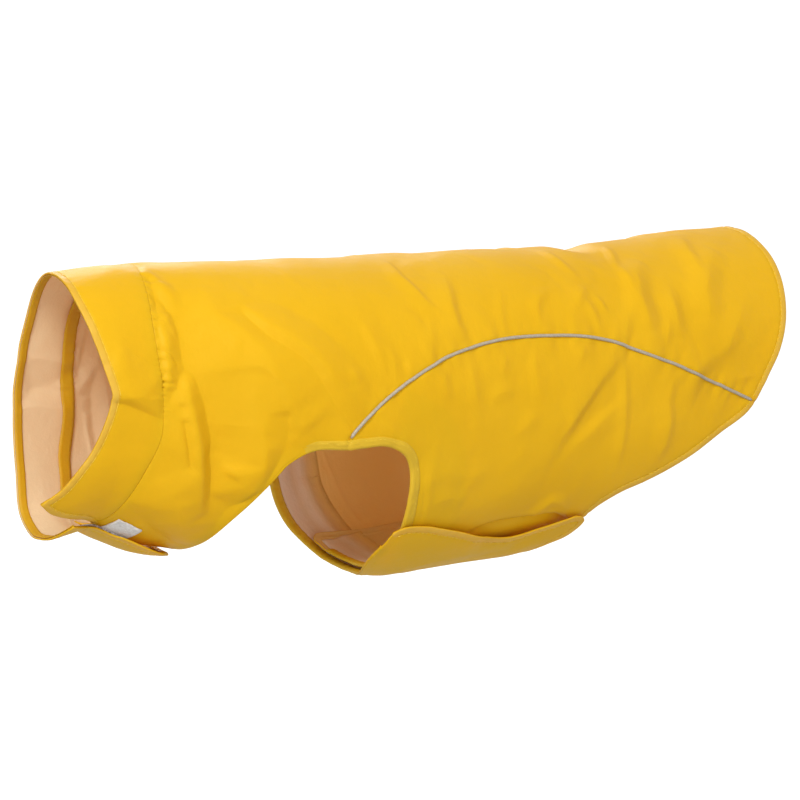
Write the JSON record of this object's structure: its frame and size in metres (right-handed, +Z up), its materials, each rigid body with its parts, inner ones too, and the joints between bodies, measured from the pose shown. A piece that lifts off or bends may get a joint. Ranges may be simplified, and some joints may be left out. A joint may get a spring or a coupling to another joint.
{
  "type": "dog raincoat",
  "caption": "Yellow dog raincoat in worn form, with a stand-up collar, arched reflective piping, bound leg openings and lapped throat and belly closures.",
  "frame": {"origin": "on the inner face of the cloth at the withers, where the coat hangs on the dog's back", "axes": "+X towards the tail, -Y towards the dog's left side, +Z up"},
  "size_m": [0.525, 0.1572, 0.2036],
  "materials": {
    "coated_cloth": "coated yellow rain cloth, soft sheen, peach lining on the inner face",
    "binding": "folded yellow bias tape, slightly puckered",
    "tape": "flat yellow seam tape",
    "reflective_piping": "smooth grey reflective cord",
    "loop_fastener": "off-white loop pile",
    "hook_fastener": "grey hook tape"
  },
  "bodies": {
    "root": {"back_panel": "coated_cloth", "side_panel_left": "coated_cloth", "side_panel_right": "coated_cloth", "collar": "coated_cloth", "collar_seam_tape": "tape", "piping_left": "reflective_piping", "piping_right": "reflective_piping", "leg_binding_left": "binding", "leg_binding_right": "binding", "neck_loop_patch": "loop_fastener", "belly_loop_patch": "loop_fastener", "neck_hook_patch": "hook_fastener", "belly_hook_patch": "hook_fastener"}
  },
  "joints": []
}
